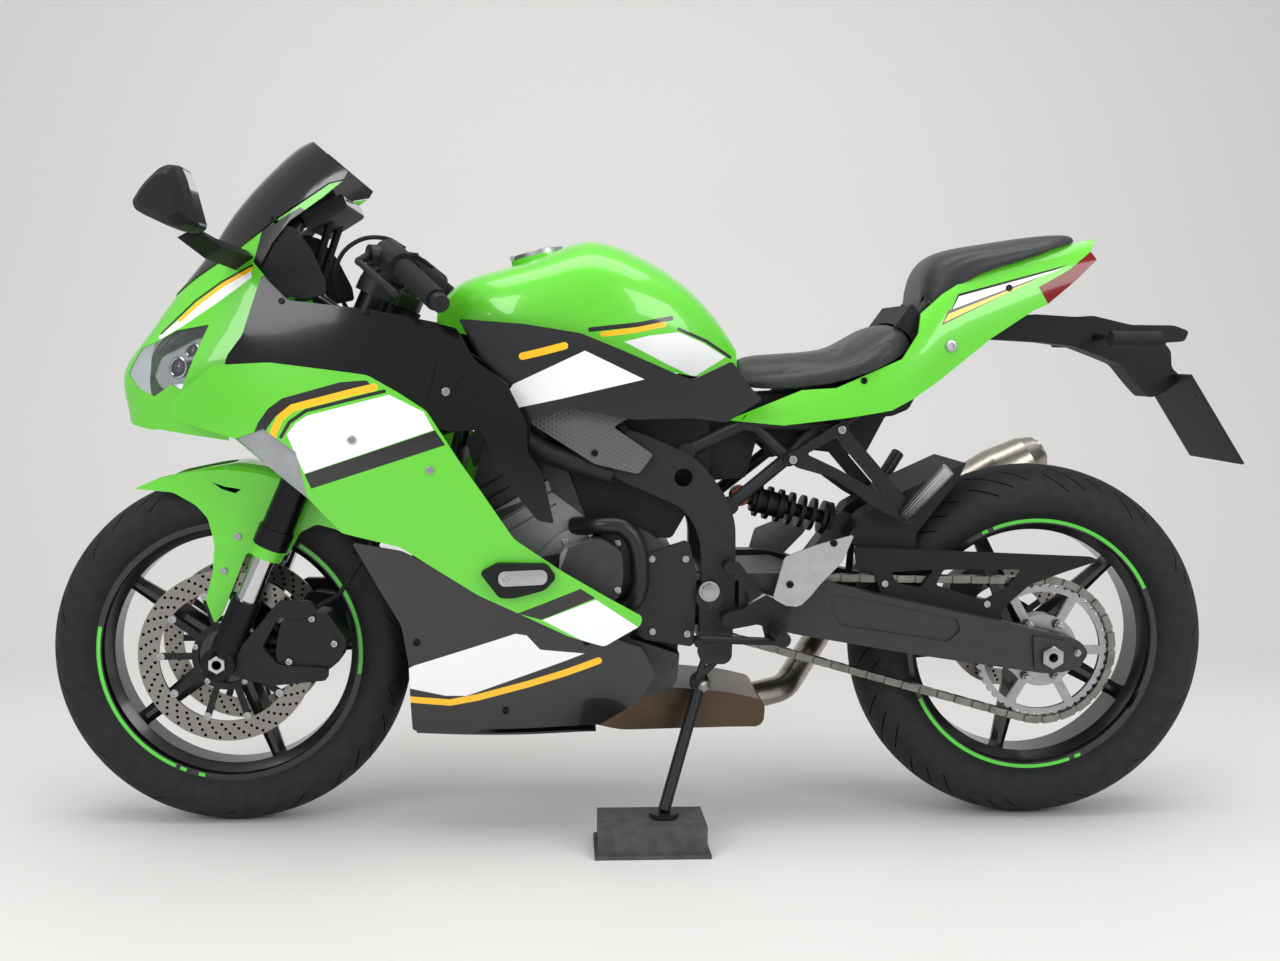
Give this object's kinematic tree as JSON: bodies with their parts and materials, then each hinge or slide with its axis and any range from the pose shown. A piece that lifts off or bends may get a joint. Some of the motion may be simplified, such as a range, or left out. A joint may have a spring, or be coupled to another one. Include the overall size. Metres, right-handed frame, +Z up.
{
  "type": "sport bike",
  "caption": "Fully faired sport bike on its side stand, with stepped seats, clip-on bars, open engine side, chain drive and a low silencer.",
  "frame": {"origin": "on the floor under the middle of the bounding box, with the motorcycle leaning on its side stand", "axes": "+X rearwards along the motorcycle, +Y to its right side, +Z up; the bike's own upright plane leans 4.5 degrees to -Y"},
  "size_m": [2.0214, 0.7662, 1.1476],
  "materials": {
    "frame_black": "satin",
    "swingarm_metal": "satin",
    "shock_steel": "satin",
    "engine_alloy": "satin",
    "cover_dark": "satin",
    "radiator_black": "matte",
    "header_steel": "satin",
    "silencer_metal": "satin",
    "tank_green": "gloss",
    "seat_black": "matte",
    "panel_green": "gloss",
    "fender_green": "gloss",
    "lens_red": "gloss",
    "plastic_black": "satin",
    "lens_clear": "gloss",
    "screen_smoke": "gloss",
    "lens_grey": "gloss",
    "panel_grey": "gloss",
    "plastic_grey": "matte",
    "panel_black": "gloss",
    "cast_grey": "satin",
    "chain_steel": "satin",
    "block_grey": "matte",
    "fork_metal": "satin",
    "grip_rubber": "matte",
    "hose_black": "matte",
    "caliper_black": "satin",
    "tyre": "matte",
    "rim_black": "gloss",
    "disc_steel": "satin",
    "stand_black": "satin",
    "lid_metal": "satin"
  },
  "bodies": {
    "chassis": {"main_frame": "frame_black", "subframe": "frame_black", "swingarm": "swingarm_metal", "rear_shock": "shock_steel", "engine": "engine_alloy", "engine_covers": "cover_dark", "air_box": "plastic_black", "under_tray": "plastic_black", "inner_panels": "plastic_black", "radiator": "radiator_black", "exhaust_headers": "header_steel", "silencer": "silencer_metal", "fuel_tank": "tank_green", "rider_seat": "seat_black", "pillion_seat": "seat_black", "tail_cowl": "panel_green", "tail_light": "lens_red", "plate_hanger": "plastic_black", "upper_cowl": "panel_green", "headlamps": "lens_clear", "windscreen": "screen_smoke", "instrument_panel": "plastic_black", "mirrors": "plastic_black", "side_cowls": "panel_green", "indicators": "lens_grey", "upper_ducts": "plastic_black", "tank_side_panels": "panel_grey", "frame_covers": "plastic_grey", "lower_cowl": "panel_black", "crash_pads": "plastic_black", "peg_hangers": "cast_grey", "hugger": "plastic_black", "chain_guard": "plastic_black", "chain": "chain_steel", "stand_block": "block_grey"},
    "steering_head": {"fork": "fork_metal", "triple_clamps": "cast_grey", "handlebars": "grip_rubber", "front_fender": "fender_green", "front_calipers": "caliper_black", "brake_hoses": "hose_black"},
    "front_wheel": {"front_tyre": "tyre", "front_rim": "rim_black", "front_discs": "disc_steel"},
    "rear_wheel": {"rear_tyre": "tyre", "rear_rim": "rim_black", "rear_sprocket": "chain_steel", "rear_disc": "disc_steel"},
    "side_stand": {"side_stand": "stand_black"},
    "filler_lid": {"filler_lid": "lid_metal"}
  },
  "joints": [
    {"name": "steering_turn", "type": "hinge", "parent": "chassis", "child": "steering_head", "pos_m": [-0.80771, 0.08018, 0.00025], "axis": [0.3987, -0.072, 0.9142], "range_deg": [-35, 35]},
    {"name": "front_wheel_spin", "type": "hinge", "parent": "steering_head", "child": "front_wheel", "pos_m": [-0.71071, 0.05665, 0.29932], "axis": [0, -0.9969, -0.0785], "continuous": true},
    {"name": "rear_wheel_spin", "type": "hinge", "parent": "chassis", "child": "rear_wheel", "pos_m": [0.66929, 0.0557, 0.31128], "axis": [0, -0.9969, -0.0785], "continuous": true},
    {"name": "side_stand_fold", "type": "hinge", "parent": "chassis", "child": "side_stand", "pos_m": [0.08127, -0.05204, 0.25285], "axis": [-0.4406, -0.6141, 0.6548], "range_deg": [0, 100]},
    {"name": "filler_lid_open", "type": "hinge", "parent": "chassis", "child": "filler_lid", "pos_m": [-0.23629, 0.0043, 0.9645], "axis": [0, -0.9969, -0.0785], "range_deg": [0, 100]}
  ]
}
